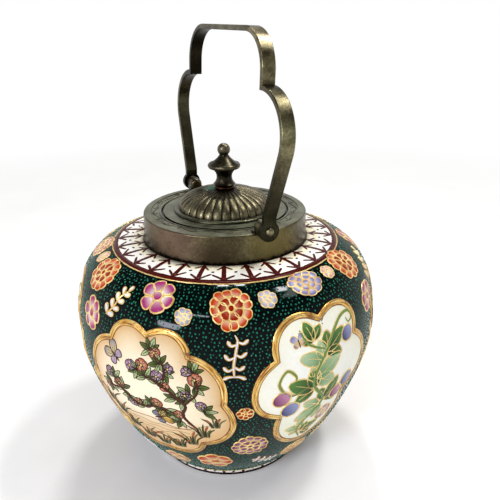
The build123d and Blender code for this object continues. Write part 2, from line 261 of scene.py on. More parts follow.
def rim_material():
    """The panels' broad gilt rim, brushed on along its length."""
    shader = Shader("panel_gilding")
    along = shader.node("ShaderNodeAttribute", attribute_name="Stroke").outputs["Vector"]
    brushed = shader.vector("MULTIPLY", along, (0.10, 2.2, 1.0))["Vector"]
    streaks = shader.noise(1.0, 5, 0.6, brushed, 0.4)
    gold = shader.ramp(
        streaks, (0.34, tint(92, 52, 18)), (0.43, tint(170, 114, 42)),
        (0.52, tint(226, 176, 82)), (0.64, tint(255, 236, 166)),
    )
    wear = shader.span(shader.noise(170, 6, 0.7), 0.54, 0.66)
    shader.set(
        Base_Color=shader.mix(wear, gold, tint(116, 68, 30)),
        Metallic=shader.span(wear, 0.0, 1.0, 0.62, 0.3),
        Roughness=shader.span(streaks, 0.3, 0.7, 0.38, 0.20),
    )
    shader.bump(streaks, 0.6, 0.25 * MM)
    return shader.material


def patina_material(name, dark, middle, light, dust_and_sheen=0.0, shade_centre=None, verdigris=None,
                    foot_grime_and_shade=None, painted_light_patches=(), painted_shade_by_height=None, roughness=(0.22, 0.44)):
    """Old plated brass: mottled olive and brown, with painted shade in its crevices and on inward faces, and
    dust with a painted sheen on top.

    dark, middle and light are the screen colours of its mottles. Faces turned towards the
    shade_centre are darkened in blotches as painted shade. verdigris is a centre and a reach;
    foot_grime_and_shade is the height where grime and painted shade are thickest and the height
    where they end; each of the painted_light_patches, painted reflections and shade, is a centre, a
    reach, a screen colour and a strength; painted_shade_by_height is a lower height, an upper height,
    and the shares of light that the metal keeps at them, painted into its colour, where more than 1
    counts as 1.
    """
    shader = Shader(name)
    place = shader.place()
    mottle = shader.noise(46, 8, 0.62, distortion=0.7)
    body = shader.ramp(mottle, (0.30, tint(*dark)), (0.48, tint(*middle)), (0.70, tint(*light)))
    tone = shader.ramp(shader.noise(17, 3), (0.40, (1.14, 0.98, 0.92)), (0.60, (0.98, 1.02, 0.80)))
    body = shader.mix(0.5, body, shader.times(body, tone))
    grain = shader.ramp(shader.noise(820, 5, 0.8), (0.38, (0.62, 0.62, 0.60)), (0.62, (1.34, 1.34, 1.30)))
    body = shader.times(body, grain)
    # Painted shade: the colour is darkened towards the bottom, by height.
    if painted_shade_by_height:
        body = shader.dimmed(body, shader.span(shader.height(place), *painted_shade_by_height))
    # Painted reflections and shade: ragged patches of lighter or darker colour where light or shade falls on
    # the metal.
    for centre, reach, colour, strength in painted_light_patches:
        painted_patch = shader.math("MULTIPLY", shader.patch(centre, reach, 60, 0.9), strength)
        body = shader.mix(painted_patch, body, tint(*colour))
    speck = shader.span(shader.noise(430, 5, 0.7), 0.60, 0.70, 0.0, 0.75)
    body = shader.mix(speck, body, 0.3 * tint(*dark))
    metallic = 1.0
    # Grime and painted shade: ragged dark specks, thickest towards the collar's foot where its shadow line
    # falls.
    if foot_grime_and_shade:
        grime_and_painted_light = shader.span(shader.height(place), *foot_grime_and_shade, 0.62, 0.0)
        crust = shader.math("ADD", grime_and_painted_light, shader.noise(300, 6, 0.75))
        body = shader.mix(shader.span(crust, 0.82, 0.98), body, tint(20, 15, 11))
    rough = shader.span(shader.noise(90, 6, 0.6), 0.3, 0.7, *roughness)
    normal = shader.node("ShaderNodeTexCoord").outputs["Normal"]
    # Dust on faces that look up, with a painted sheen: the lighter, less metallic colour also stands in for
    # the brighter ceiling that these faces reflect.
    if dust_and_sheen:
        lying = shader.span(shader.height(normal), 0.86, 0.97, 0.0, dust_and_sheen)
        clouds = shader.span(shader.noise(120, 7, 0.7), 0.34, 0.60, 0.2, 1.0)
        grime_and_painted_light = shader.math("MULTIPLY", lying, clouds)
        body = shader.mix(grime_and_painted_light, body, tint(124, 128, 106))
        rough = shader.math("ADD", rough, shader.math("MULTIPLY", grime_and_painted_light, 0.16))
        metallic = shader.math("SUBTRACT", 1.0, shader.math("MULTIPLY", grime_and_painted_light, 0.6))
    # Painted shade: faces turned towards the shade centre, such as a handle's inner faces, are darkened in
    # blotches.
    if shade_centre:
        outward = shader.vector("NORMALIZE", shader.vector("SUBTRACT", place, shade_centre)["Vector"])
        facing = shader.vector("DOT_PRODUCT", outward["Vector"], normal)["Value"]
        blotches = shader.span(shader.noise(60, 6), 0.35, 0.6, 1.0, 0.7)
        inner_face_shade = shader.math("MULTIPLY", shader.span(facing, -0.55, 0.30, 0.85, 0.0), blotches)
        body = shader.mix(inner_face_shade, body, tint(22, 18, 12))
    # Painted shade: the colour is darkened by ambient occlusion in crevices, hollows and between parts.
    crevice_shade = shader.node("ShaderNodeAmbientOcclusion", samples=8)
    crevice_shade.inputs["Distance"].default_value = 4 * MM
    body = shader.dimmed(body, shader.span(crevice_shade.outputs["AO"], 0.45, 0.98, 0.10, 1.0))
    if verdigris:
        crust = shader.patch(*verdigris, 620)
        green = shader.ramp(shader.noise(900, 4), (0.35, tint(34, 70, 54)), (0.7, tint(96, 140, 112)))
        body = shader.mix(crust, body, green)
        metallic = shader.math("SUBTRACT", metallic, crust)
        rough = shader.math("MAXIMUM", rough, shader.math("MULTIPLY", crust, 0.8))
    shader.set(Base_Color=body, Metallic=metallic, Roughness=rough)
    scratches = shader.noise(1.0, 3, 0.6, shader.vector("MULTIPLY", place, (260, 260, 2600))["Vector"])
    pits = shader.noise(1400, 4, 0.7)
    shader.bump(shader.math("ADD", shader.math("MULTIPLY", scratches, 0.5), pits), 0.16, 0.12 * MM)
    return shader.material


def plain_material(name, low, high, scale, roughness, metallic=0.0):
    """A matt or dull surface between two screen colours, for pieces that hardly show."""
    shader = Shader(name)
    grain = shader.noise(scale, 6, 0.65)
    shader.set(
        Base_Color=shader.ramp(grain, (0.3, tint(*low)), (0.7, tint(*high))),
        Metallic=metallic, Roughness=roughness,
    )
    shader.bump(grain, 0.3, 0.2 * MM)
    return shader.material


# ---- the jar's side as a flat sheet
BELLY_ALONG = 96.6           # mm, the length up the side at the belly; designs are placed by it
SWEEP_START = -62.5          # degrees of elevation of the foot's edge, from a point on the axis
SWEEP = 107.6                # degrees, from there up to the collar
SWEEP_STEPS = 900
OUTSIDE = 0.4                # metres from that point, where the sweep's rays start
LOWEST_HIT = 0.5 * MM        # below it a ray has met the foot's underside
SLOPE_REACH = 0.8            # mm to each side over which the side's slope is measured
SUNK = -0.07                 # mm, how far every raised piece's edge dips into the glaze


def lengths_along(line):
    """The length from the start of a flat line to each of its points."""
    return np.concatenate([[0], np.cumsum(np.hypot(*np.diff(line, axis=0).T))])


def jar_profile():
    """Radius, height and length along the side, in mm, from the foot up to the collar."""
    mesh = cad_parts["jar_body"].data
    tree = BVHTree.FromPolygons([v.co for v in mesh.vertices], [p.vertices for p in mesh.polygons])
    centre = Vector((0, 0, 0.6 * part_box("jar_body")[1].z))
    found = []
    for step in range(SWEEP_STEPS + 1):
        angle = math.radians(SWEEP_START + step / SWEEP_STEPS * SWEEP)
        ray = Vector((math.cos(angle), 0, math.sin(angle)))
        hit = tree.ray_cast(centre + OUTSIDE * ray, -ray)[0]
        if hit and hit.z > LOWEST_HIT:
            found.append((hit.x / MM, hit.z / MM))
    radius, height = np.array(found).T
    along = lengths_along(found)
    belly = along[radius > radius.max() - 0.05].mean()
    return radius, height, along + BELLY_ALONG - belly


PROFILE_RADIUS, PROFILE_HEIGHT, PROFILE_ALONG = jar_profile()
BELLY_HEIGHT = PROFILE_HEIGHT[np.argmax(PROFILE_RADIUS)] * MM


def side_radius(along):
    return np.interp(along, PROFILE_ALONG, PROFILE_RADIUS)


def side_height(along):
    return np.interp(along, PROFILE_ALONG, PROFILE_HEIGHT)


def on_side(azimuth, along, lift):
    """Points in metres on the jar's side, lifted off it by so many mm."""
    run = side_radius(along + SLOPE_REACH) - side_radius(along - SLOPE_REACH)
    rise = side_height(along + SLOPE_REACH) - side_height(along - SLOPE_REACH)
    slant = np.hypot(run, rise)
    radius = side_radius(along) + lift * rise / slant
    height = side_height(along) - lift * run / slant
    return np.column_stack([radius * np.cos(azimuth), radius * np.sin(azimuth), height]) * MM


class Spot:
    """A place on the jar where a flat design is laid, turned and mirrored as asked."""

    def __init__(self, azimuth, along, turn=0.0, mirrored=False):
        self.azimuth = math.radians(azimuth)
        self.along = along
        self.turn = math.radians(turn)
        self.flip = -1 if mirrored else 1

    def lay(self, flat, lift):
        flat = np.asarray(flat, float)
        x, y = self.flip * flat[:, 0], flat[:, 1]
        right = x * math.cos(self.turn) - y * math.sin(self.turn)
        along = self.along + x * math.sin(self.turn) + y * math.cos(self.turn)
        return on_side(self.azimuth + right / side_radius(along), along, lift)


class Piece:
    """Gathers the vertices, faces and paint of one object."""

    def __init__(self):
        self.points, self.faces, self.paint, self.strokes, self.count = [], [], [], [], 0

    def add(self, points, faces, paint, stroke=None):
        self.points.append(points)
        self.faces += [tuple(self.count + corner for corner in face) for face in faces]
        self.paint.append(np.broadcast_to(paint, (len(points), 3)))
        self.strokes.append(np.zeros((len(points), 3)) if stroke is None else stroke)
        self.count += len(points)

    def lay(self, spot, flat, lift, faces, paint, stroke=None):
        """Adds a flat design laid at a spot, its faces turned back where the spot mirrors them."""
        self.add(spot.lay(flat, lift), faces if spot.flip > 0 else flipped(faces), paint, stroke)

    def finish(self, name, material, body="jar"):
        """Makes the object and lets it ride on a body."""
        mesh = bpy.data.meshes.new(name)
        mesh.from_pydata(np.vstack(self.points).tolist(), [], self.faces)
        mesh.shade_smooth()
        paint = mesh.color_attributes.new("Paint", "FLOAT_COLOR", "POINT")
        opaque = np.ones((self.count, 1))
        paint.data.foreach_set("color", np.hstack([np.vstack(self.paint), opaque]).ravel())
        stroke = mesh.attributes.new("Stroke", "FLOAT_VECTOR", "POINT")
        stroke.data.foreach_set("vector", np.vstack(self.strokes).ravel())
        mesh.materials.append(material)
        piece = bpy.data.objects.new(name, mesh)
        bpy.context.scene.collection.objects.link(piece)
        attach(piece, body)


def flipped(faces):
    """The same faces, seen from their other side."""
    return [face[::-1] for face in faces]


def grid_faces(rows, columns, closed=False):
    """Quads between neighbouring rows of points; closed joins the last column to the first."""
    span = columns if closed else columns - 1
    return [
        (row * columns + col, row * columns + (col + 1) % columns,
         (row + 1) * columns + (col + 1) % columns, (row + 1) * columns + col)
        for row in range(rows - 1) for col in range(span)
    ]


def fan_faces(rows, columns):
    """Closed rings that shrink to one middle point, which comes last."""
    last = (rows - 1) * columns
    middle = rows * columns
    return grid_faces(rows, columns, closed=True) + [
        (last + col, last + (col + 1) % columns, middle) for col in range(columns)
    ]


def leftward(line, closed=False):
    """Unit steps to the left of each point of a flat line."""
    if closed:
        ahead = np.roll(line, -1, axis=0) - np.roll(line, 1, axis=0)
    else:
        ahead = np.gradient(line, axis=0)
    ahead /= np.maximum(np.hypot(*ahead.T), 1e-9)[:, None]
    return np.column_stack([-ahead[:, 1], ahead[:, 0]])


def pad(piece, spot, outline, lift, colour_at, base=0.0):
    """A raised pillow inside a closed outline. colour_at gives the paint of flat points."""
    shares = (1.0, 0.88, 0.62, 0.3)
    middle = outline.mean(axis=0)
    flat = np.vstack([middle + share * (outline - middle) for share in shares] + [middle[None]])
    lifts = np.append(np.repeat([SUNK, 0.75 * lift, lift, lift], len(outline)), lift) + base
    piece.lay(spot, flat, lifts, fan_faces(len(shares), len(outline)), colour_at(flat))


def ridge(piece, spot, line, width, lift, colour, closed=False, taper=False, clubbed=False):
    """A raised half-round line along flat points; clubbed, it swells towards a round end."""
    line = np.asarray(line, float)
    across = leftward(line, closed)
    size = np.ones(len(line))
    if taper:
        size = np.sqrt(np.clip(np.sin(np.linspace(0.06, math.pi - 0.06, len(line))) * 1.6, 0.1, 1))
    if clubbed:
        share = np.linspace(0, 1, len(line))
        size = (0.45 + 0.55 * share) * np.sqrt(np.clip((1 - share) * 5, 0.06, 1))
    flat, lifts = [], []
    for offset, share in ((-1, 0.0), (-0.62, 0.78), (0, 1.0), (0.62, 0.78), (1, 0.0)):
        flat.append(line + across * (offset * width / 2 * size)[:, None])
        lifts.append(np.where(share > 0, lift * share * size, SUNK))
    piece.lay(spot, np.vstack(flat), np.concatenate(lifts), grid_faces(5, len(line), closed), colour)


def arc_through(start, middle, end, count=14):
    """Points of the circle's arc from start through middle, without end."""
    first, second, third = complex(*start), complex(*middle), complex(*end)
    ratio = (third - first) / (second - first)
    centre = first + (second - first) * (ratio - abs(ratio)**2) / (2j * ratio.imag)
    to_middle, turn = (
        cmath.phase((point - centre) / (first - centre)) % math.tau for point in (second, third)
    )
    if to_middle > turn:
        turn -= math.tau
    points = centre + (first - centre) * np.exp(1j * np.linspace(0, turn, count, endpoint=False))
    return np.column_stack([points.real, points.imag])


def curve_through(points, count):
    """A smooth line through a few flat points."""
    points = np.asarray(points, float)
    knots = lengths_along(points)
    places = np.linspace(0, knots[-1], count)
    part = np.minimum(np.searchsorted(knots, places, side="right") - 1, len(points) - 2)
    share = ((places - knots[part]) / (knots[part + 1] - knots[part]))[:, None]
    padded = np.vstack([2 * points[0] - points[1], points, 2 * points[-1] - points[-2]])
    before, start, end, after = (padded[part + step] for step in range(4))
    return 0.5 * (
        2 * start + (end - before) * share
        + (2 * before - 5 * start + 4 * end - after) * share**2
        + (3 * start - before - 3 * end + after) * share**3
    )


# ---- enamel colours
GOLD_LINE = tint(232, 200, 122)
WHITE = tint(244, 240, 230)
CREAM = tint(246, 222, 184)
ORANGE = tint(184, 54, 12)
RUST = tint(140, 26, 6)
PINK = tint(158, 48, 108)
ROSE = tint(188, 98, 116)
LAVENDER = tint(124, 118, 166)
MAUVE = tint(118, 58, 92)
BLUE = tint(84, 94, 148)
TEAL = tint(26, 102, 78)
MAROON = tint(72, 17, 13)
BARK = tint(72, 38, 26)

dots = Piece()
petals = Piece()             # flowers and twigs on the dark glaze
outlines = Piece()           # their gilt lines
grounds = Piece()            # the panels' pale grounds
rims = Piece()
paintwork = Piece()          # the pictures in the panels
panel_gold = Piece()         # their gilt lines
border = Piece()
flower_circles = []          # azimuth in radians, length along the side, radius: kept free of dots
panel_outlines = []          # spot and outline of each panel, kept free of dots too


# ---- flowers and twigs
def fade(root, tip, start, end, bias=1.0):
    """Paint that runs from root to tip between two heights of a flat design."""
    def colour_at(flat):
        share = np.clip((flat[:, 1] - start) / (end - start), 0, 1)[:, None] ** bias
        return root * (1 - share) + tip * share
    return colour_at


def petal_outline(root, tip, width, swell=0.3, point=0.0, count=16):
    """A petal that points up +y, from the distance root to the distance tip."""
    angle = np.linspace(0, math.tau, count, endpoint=False)
    rise = (1 - np.cos(angle)) / 2
    side = np.sin(angle) * (1 - swell * np.cos(angle)) * (1 - point * rise**3)
    return np.column_stack([width / 2 * side, root + (tip - root) * rise])


def turned(flat, angle, centre=(0.0, 0.0)):
    """Flat points turned about the origin and then moved to a centre."""
    x, y = np.asarray(flat, float).T
    cosine, sine = math.cos(angle), math.sin(angle)
    return np.column_stack([x * cosine - y * sine, x * sine + y * cosine]) + centre


def petal(spot, outline, angle, squash, root_colour, tip_colour, lift, line):
    """One enamel petal with its gilt outline, at an angle round the flower's middle."""
    shake = np.array([(rng.uniform(-0.2, 0.2), rng.uniform(-0.2, 0.2)) for _ in outline])
    outline = outline + (shake + np.roll(shake, 1, axis=0)) / 2
    line = line * rng.uniform(0.8, 1.2)
    low, high = outline[:, 1].min(), outline[:, 1].max()
    gleam = rng.uniform(0.3, 1.0)
    root_colour = gleam * root_colour + (1 - gleam) * tip_colour
    shade = fade(root_colour, tip_colour, low + 0.08 * (high - low), low + 0.7 * (high - low), 0.7)
    placed = turned(outline, angle) * (1, squash)
    pad(petals, spot, placed, lift, lambda flat: shade(turned(flat / (1, squash), -angle)))
    ridge(outlines, spot, placed, line, lift * 1.35, GOLD_LINE, closed=True)


def flower(azimuth, along, size, rings, turn=0.0, squash=1.0, line=0.95):
    """Rings of petals on a gilt round, the outer ring first.

    A ring is a count; a root, a tip and a width in parts of the size; a swell; and two colours.
    """
    spot = Spot(azimuth, along)
    reach = size * max(ring[2] for ring in rings)
    flower_circles.append((math.radians(azimuth), along, squash * (reach + 0.9)))
    round_base = petal_outline(-0.86 * reach, 0.86 * reach, 1.72 * reach, 0.0, count=28)
    pad(outlines, spot, round_base * (1, squash), 0.2, lambda flat: GOLD_LINE)
    for level, (count, root, tip, width, swell, root_colour, tip_colour) in enumerate(rings):
        for number in range(count):
            veer, longer, wider, skew = (rng.uniform(-1, 1) * (count > 1) for _ in range(4))
            angle = math.radians(turn) + (number + 0.5 * (level % 2) + 0.10 * veer) * math.tau / count
            shape = petal_outline(root, tip * (1 + 0.06 * longer), width * (1 + 0.09 * wider), swell)
            shape[:, 0] += 0.12 * skew * (shape[:, 1] - root)
            petal(spot, size * shape, angle, squash, root_colour, tip_colour, 0.30 + 0.08 * level, line)


def mum(azimuth, along, radius, outer=ORANGE, inner=RUST, pale=CREAM, turn=0.0):
    """A chrysanthemum: two rings of rounded petals and a button, with a pale gleam at each root."""
    unit = radius / 10.4
    flower(azimuth, along, unit, (
        (12, 5.9, 10.4, 4.8, 0.14, pale, outer),
        (7, 1.9, 6.4, 4.4, 0.22, 0.3 * pale + 0.7 * outer, inner),
        (1, -1.6, 1.6, 3.1, 0.0, inner, inner),
    ), turn, line=0.15 + 0.6 * unit)


def blossom(azimuth, along, radius, colour, pale=WHITE, count=6, turn=0.0):
    """A rosette of rounded petals round a button, deep at their tips."""
    flower(azimuth, along, radius, (
        (count, 0.28, 1.0, 0.72 * 6 / count, 0.36, pale, colour),
        (1, -0.27, 0.27, 0.54, 0.0, 0.4 * pale + 0.6 * colour, colour),
    ), turn)


def posy(azimuth, along, radius, colour, pale=WHITE, turn=0.0):
    """A small flower of round petals."""
    flower(azimuth, along, radius, (
        (7, 0.34, 1.0, 0.74, 0.3, pale, 0.75 * colour + 0.25 * pale),
        (3, 0.02, 0.48, 0.46, 0.1, pale, 0.6 * colour + 0.4 * pale),
    ), turn, line=0.62)


def cluster(azimuth, along, radius, colour, turn=0.0):
    """A broad low head of rounded florets."""
    rings = ((10, 0.56, 1.0, 0.52, 0.3), (6, 0.20, 0.62, 0.44, 0.25), (1, -0.20, 0.20, 0.40, 0.0))
    flower(azimuth, along, radius, [(*ring, WHITE, colour) for ring in rings], turn, squash=0.75, line=0.8)


def sprig(azimuth, along, height, turn=0.0, mirrored=False):
    """White coral-like twig: a stem with curled side shoots, white on gold."""
    spot = Spot(azimuth, along, turn, mirrored)
    unit = height / 24
    twigs = (
        [(0.2, -10.0), (-0.4, -4), (0.3, 3), (0.8, 8.0), (-0.6, 10.6)],
        [(-0.2, -9.6), (-2.6, -9.8), (-5.0, -11.2)],
        [(0.3, -9.6), (2.8, -9.6), (5.8, -10.8)],
        [(-0.4, -5.4), (-3.0, -6.6), (-5.2, -4.8)],
        [(-0.3, -4.4), (2.4, -5.8), (4.8, -4.0)],
        [(0.0, 0.2), (-2.8, -0.9), (-5.0, 1.4)],
        [(0.2, 1.6), (2.8, 0.5), (5.4, 2.6)],
        [(0.7, 6.2), (-2.0, 5.6), (-3.9, 7.8)],
        [(1.0, 7.4), (3.6, 6.8), (5.8, 8.6)],
    )
    for number, points in enumerate(twigs):
        line = curve_through(np.array(points) * unit, 16)
        ends = {"taper": number == 0, "clubbed": number > 0}
        ridge(petals, spot, line, 2.6 if number else 1.7, 0.26, tint(204, 160, 80), **ends)
        ridge(petals, spot, line, 1.35 if number else 0.75, 0.50, tint(228, 232, 240), **ends)


def leafy_sprig(azimuth, along, height, turn=0.0):
    """A thin stem with pairs of small white leaves, each outlined in gold."""
    spot = Spot(azimuth, along, turn)
    unit = height / 20
    stem = curve_through(np.array([(-0.8, -9.5), (0.4, -3), (-0.3, 3), (0.6, 8.0)]) * unit, 24)
    ridge(outlines, spot, stem, 1.0, 0.3, GOLD_LINE)
    leaves = [(share, side * 52, 1.0 - 0.2 * share) for share in (0.04, 0.3, 0.56, 0.82) for side in (-1, 1)]
    for share, lean, size in [*leaves, (1.0, -4, 0.7)]:
        root = stem[round(share * (len(stem) - 1))]
        shape = petal_outline(0.3, 5.0 * size * unit, 2.2 * size * unit, 0.45, 0.0, 14)
        placed = turned(shape, math.radians(-lean), root)
        pad(petals, spot, placed, 0.42, fade(tint(214, 214, 224), WHITE, -9, 9))
        ridge(outlines, spot, placed, 0.75, 0.46, GOLD_LINE, closed=True)


# ---- panels
# The right half of each panel, x and length along the side, from its top middle: in turn a notch
# where two lobes meet and a point on the next lobe, and last the notch at its foot.
WIDE_PANEL = ((0, 123.2), (11.5, 126.4), (22.8, 115.6), (35.2, 108.4), (39.5, 88.9), (41.0, 69.5),
              (23.7, 54.8), (13.2, 42.8), (0, 42.6))
TALL_PANEL = ((0, 127.1), (19.2, 128.8), (26.2, 110.8), (37.5, 93.2), (22.2, 74.0), (18.8, 55.6),
              (0, 42.4))
PANEL_MIDDLE = 85.0
PANEL_REACH = 50.0           # mm, more than half of any panel's width
EARTH_TOP = -10.0            # the earth colour starts here, from the middle, and is full lower down
EARTH_FULL = -19.0
RIM_WIDTH = 3.1
RIM_PROFILE = (              # share of the rim's width, lift
    (0.0, SUNK), (0.10, 0.30), (0.30, 0.40), (0.52, 0.30), (0.74, 0.42), (0.92, 0.30), (1.0, SUNK),
)
PANEL_LINE = tint(104, 62, 30)


def panel_outline(half):
    """The whole closed outline about the panel's middle, lobe by lobe."""
    right = [arc_through(*half[i:i + 3]) for i in range(0, len(half) - 2, 2)]
    right = np.vstack([*right, [half[-1]]])
    left = right[-2:0:-1] * (-1, 1)
    return np.vstack([right, left]) - (0, PANEL_MIDDLE)


def inward(outline, distance):
    """The outline drawn in by a distance, each point along the mean of its two sides' normals."""
    ahead = np.roll(outline, -1, axis=0) - outline
    ahead /= np.hypot(*ahead.T)[:, None]
    normal = np.column_stack([ahead[:, 1], -ahead[:, 0]])
    normal = normal + np.roll(normal, 1, axis=0)
    normal /= np.maximum(np.hypot(*normal.T), 1e-9)[:, None]
    return outline + normal * distance


def add_panel(azimuth, half, edge_colour, middle_colour, earth_colour, draw, mirrored):
    """A gilt-edged panel; its ground runs from middle to edge colour, and to earth colour low down."""
    spot = Spot(azimuth, PANEL_MIDDLE, mirrored=mirrored)
    outline = panel_outline(half)
    panel_outlines.append((spot, outline))
    inner = inward(outline, RIM_WIDTH)
    shares = np.linspace(1, 0.04, 24)
    flat = np.vstack([inner * share for share in shares] + [[(0, 0)]])
    glow = np.append(np.repeat(shares, len(inner)), 0)[:, None]
    paint = middle_colour * (1 - glow**4) + edge_colour * glow**4
    earth = 0.75 * np.clip((EARTH_TOP - flat[:, 1:]) / (EARTH_TOP - EARTH_FULL), 0, 1)
    paint = paint * (1 - earth) + earth_colour * earth
    grounds.lay(spot, flat, 0.06, flipped(fan_faces(len(shares), len(inner))), paint)

    shares, lifts = np.array(RIM_PROFILE).T
    flat = np.vstack([inward(outline, share * RIM_WIDTH) for share in shares])
    along = np.tile(lengths_along(outline), len(shares))
    across = np.repeat(shares * RIM_WIDTH, len(outline))
    stroke_at = np.column_stack([along, across, np.zeros(len(flat))])
    faces = flipped(grid_faces(len(shares), len(outline), closed=True))
    rims.lay(spot, flat, np.repeat(lifts, len(outline)), faces, GOLD_LINE, stroke_at)
    ridge(grounds, spot, inner, 0.4, 0.22, PANEL_LINE, closed=True)
    ridge(grounds, spot, inward(outline, 0.55 * RIM_WIDTH), 0.34, 0.40, PANEL_LINE, closed=True)
    draw(spot)


# ---- the pictures in the panels
# In these functions tones are the paints of a shape's root and tip, ink is the piece and the colour
# of its lines, and angles are in degrees.
def cell(spot, shape, angle, centre, tones, lift, ink, line):
    """One painted shape, drawn pointing up +y and then turned, with its outline."""
    edge, line_colour = ink
    turn = math.radians(angle)
    placed = turned(shape, turn, centre)
    shade = fade(*tones, shape[:, 1].min(), shape[:, 1].max())
    pad(paintwork, spot, placed, lift, lambda flat: shade(turned(flat - centre, -turn)), base=0.04)
    ridge(edge, spot, placed, line, lift + 0.10, line_colour, closed=True)


def vein(spot, centre, angle, length, ink, line):
    """A thin line up the middle of a shape."""
    edge, line_colour = ink
    way = turned([(0, 0.05 * length), (0.02 * length, 0.5 * length), (0, 0.86 * length)],
                 math.radians(angle), centre)
    ridge(edge, spot, curve_through(way, 8), line, 0.36, line_colour, taper=True)


def tuft(spot, centre, angle, size, leaves, ink):
    """A fan of five small pointed leaves from one point, with the tones of the leaves in turn."""
    for number in range(5):
        lean = angle + (number - 2) * 46 + rng.uniform(-9, 9)
        length = size * rng.uniform(0.85, 1.15)
        shape = petal_outline(0, length, 0.46 * length, 0.05, 0.75, 14)
        cell(spot, shape, lean, centre, leaves[number % len(leaves)], 0.20, ink, 0.55)
        vein(spot, centre, lean, length, ink, 0.4125)


def vine_leaf(spot, centre, angle, size, tones, ink):
    """A broad leaf of three lobes, each with a vein."""
    for lift, lean, length, width in ((0.18, 58, 0.72, 0.50), (0.21, -54, 0.76, 0.52), (0.25, 3, 1.0, 0.58)):
        shape = petal_outline(0, length * size, width * size, 0.12, 0.45, 18)
        cell(spot, shape, angle + lean, centre, tones, lift, ink, 0.85)
        vein(spot, centre, angle + lean, length * size, ink, 0.595)


def bloom(spot, centre, radius, tones, ink, line, count=5):
    """A small open flower with a seed head."""
    for number in range(count):
        angle = 360 / count * number + rng.uniform(-6, 6)
        shape = petal_outline(0.14 * radius, radius, 6.2 / (count + 1) * radius, 0.3, 0.0, 13)
        cell(spot, shape, angle, centre, tones, 0.20, ink, line)
    head = petal_outline(-0.2 * radius, 0.2 * radius, 0.4 * radius, 0.0, count=10)
    cell(spot, head, 0, centre, (tint(222, 184, 92), tint(238, 206, 120)), 0.34, ink, 0.8 * line)


def berry(spot, centre, radius, tones, ink):
    """A round fruit, lighter on one side."""
    x, y = centre
    cell(spot, petal_outline(-radius, radius, 2 * radius, 0.0, count=22), -60, centre, tones, 0.42, ink, 0.8)
    vein(spot, (x - 0.3 * radius, y - 0.8 * radius), -20, 1.7 * radius, ink, 0.5)


def butterfly(spot, centre, angle, size, fore, hind, ink):
    """Four wings, two feelers and a slim body; fore and hind are the wings' tones."""
    edge, line_colour = ink
    turn = math.radians(angle)
    for side in (-1, 1):
        for lean, length, width, tones in ((112, 0.66, 0.5, hind), (38, 1.0, 0.62, fore)):
            lean = angle - side * lean
            shape = petal_outline(0, length * size, width * size, 0.42, 0, 16)
            cell(spot, shape, lean, centre, tones, 0.2, ink, 0.5)
            for fan in (-12, 10):
                vein(spot, centre, lean + fan, 0.8 * length * size, ink, 0.35)
        feeler = turned(np.array([(0, 0.4), (side * 0.12, 0.66), (side * 0.3, 0.8)]) * size, turn, centre)
        ridge(edge, spot, curve_through(feeler, 8), 0.35, 0.3, line_colour)
    body = turned(np.array([(0, -0.5), (0, 0.05), (0, 0.45)]) * size, turn, centre)
    ridge(paintwork, spot, curve_through(body, 10), 0.14 * size, 0.5, BARK, taper=True)


def grass(spot, x, y, height, count):
    """A clump of bending blades, some with a seed head."""
    paints = (tint(58, 60, 28), tint(36, 32, 20), tint(106, 104, 58))
    for number in range(count):
        lean = (number - (count - 1) / 2) / count * 1.5 + rng.uniform(-0.15, 0.15)
        tall = height * rng.uniform(0.6, 1.1)
        foot = (x + 0.7 * (number - count / 2), y)
        blade = foot + tall * np.array([(0, 0), (0.25 * lean, 0.6), (lean, 1)])
        ridge(paintwork, spot, curve_through(blade, 10), 1.15, 0.30, paints[number % 3], taper=True)
        if number % 3 == 1:
            seeds = foot + tall * np.array([(0.25 * lean, 0.6), (0.625 * lean, 0.85), (lean, 1)])
            ridge(paintwork, spot, curve_through(seeds, 8), 1.5, 0.34, tint(150, 88, 50), taper=True)


def water(spot):
    """The bank's edge and the ripples below it."""
    bank = curve_through([(-36, -9), (-20, -15), (-2, -13), (14, -17), (35, -9)], 30)
    ridge(paintwork, spot, bank, 0.6, 0.2, tint(128, 84, 56), taper=True)
    for number in range(7):
        x = np.linspace(-24 + 2.4 * number, 28 - 3.4 * number, 24)
        wave = np.column_stack([x, -17.5 - 2.7 * number + 0.6 * np.sin(x * 0.5 + number * 1.9)])
        colour = tint(158, 128, 92) if number % 2 else tint(120, 118, 84)
        ridge(paintwork, spot, wave, 0.5, 0.14, colour, taper=True)


